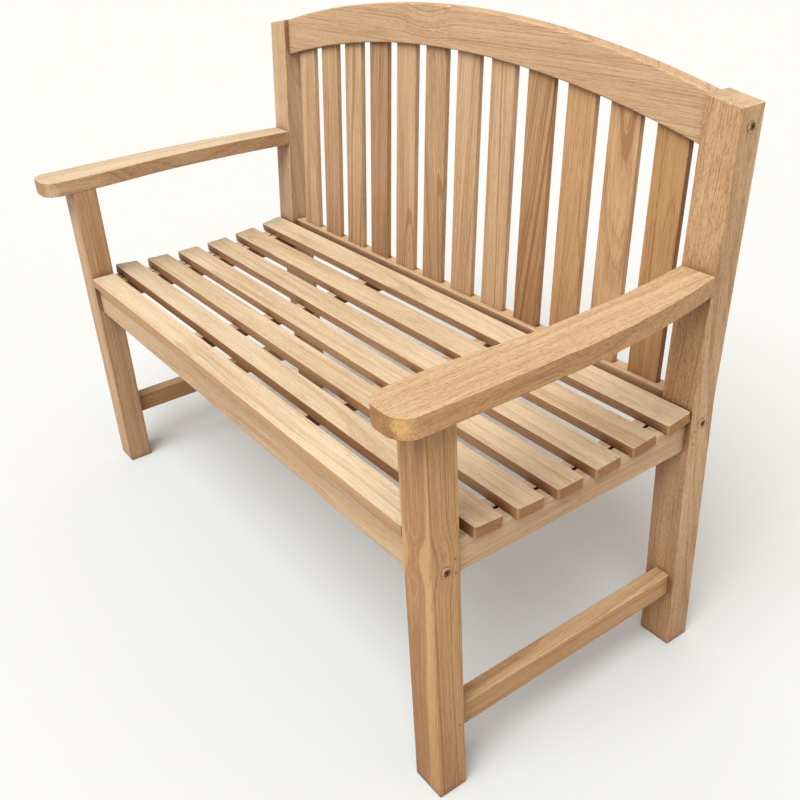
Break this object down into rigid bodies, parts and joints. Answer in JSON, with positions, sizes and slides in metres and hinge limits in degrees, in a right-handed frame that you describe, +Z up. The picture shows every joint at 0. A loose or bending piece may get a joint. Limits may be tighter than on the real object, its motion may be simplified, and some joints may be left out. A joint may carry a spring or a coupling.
{
  "type": "garden bench",
  "caption": "Wooden two-seat garden bench with an arched slatted back, a dished slatted seat and waisted armrests.",
  "frame": {"origin": "on the floor, at the middle of the overall width and of the overall depth", "axes": "+X to the right along the seat as seen from the front, +Y from front to back, +Z up"},
  "size_m": [1.2, 0.583, 0.9099],
  "materials": {
    "teak_frame": "planed bare teak, satin, straight grain",
    "teak_seat": "planed bare teak, satin, pale straight grain",
    "teak_back_slats": "planed bare teak, satin, mixed pale and brown boards",
    "hardwood_dowels": "turned hardwood, end grain showing",
    "brass_fittings": "turned brass, slightly tarnished",
    "steel_screws": "stainless steel"
  },
  "bodies": {
    "root": {"front_leg_left": "teak_frame", "front_leg_right": "teak_frame", "rear_post_left": "teak_frame", "rear_post_right": "teak_frame", "armrest_left": "teak_frame", "armrest_right": "teak_frame", "front_rail": "teak_frame", "lower_back_rail": "teak_frame", "top_rail": "teak_frame", "side_rail_left": "teak_frame", "side_rail_right": "teak_frame", "side_stretcher_left": "teak_frame", "side_stretcher_right": "teak_frame", "back_slat_01": "teak_back_slats", "back_slat_02": "teak_back_slats", "back_slat_03": "teak_back_slats", "back_slat_04": "teak_back_slats", "back_slat_05": "teak_back_slats", "back_slat_06": "teak_back_slats", "back_slat_07": "teak_back_slats", "back_slat_08": "teak_back_slats", "back_slat_09": "teak_back_slats", "back_slat_10": "teak_back_slats", "back_slat_11": "teak_back_slats", "back_slat_12": "teak_back_slats", "seat_slat_01": "teak_seat", "seat_slat_02": "teak_seat", "seat_slat_03": "teak_seat", "seat_slat_04": "teak_seat", "seat_slat_05": "teak_seat", "seat_slat_06": "teak_seat", "seat_slat_07": "teak_seat", "end_batten_left": "teak_frame", "end_batten_right": "teak_frame", "middle_batten_left": "teak_frame", "middle_batten_right": "teak_frame", "frame_bolts": "brass_fittings", "cross_nuts": "brass_fittings", "slat_screws": "steel_screws", "batten_screws": "steel_screws", "joint_pins": "hardwood_dowels", "seat_dowels": "hardwood_dowels", "arm_dowels": "hardwood_dowels"}
  },
  "joints": []
}
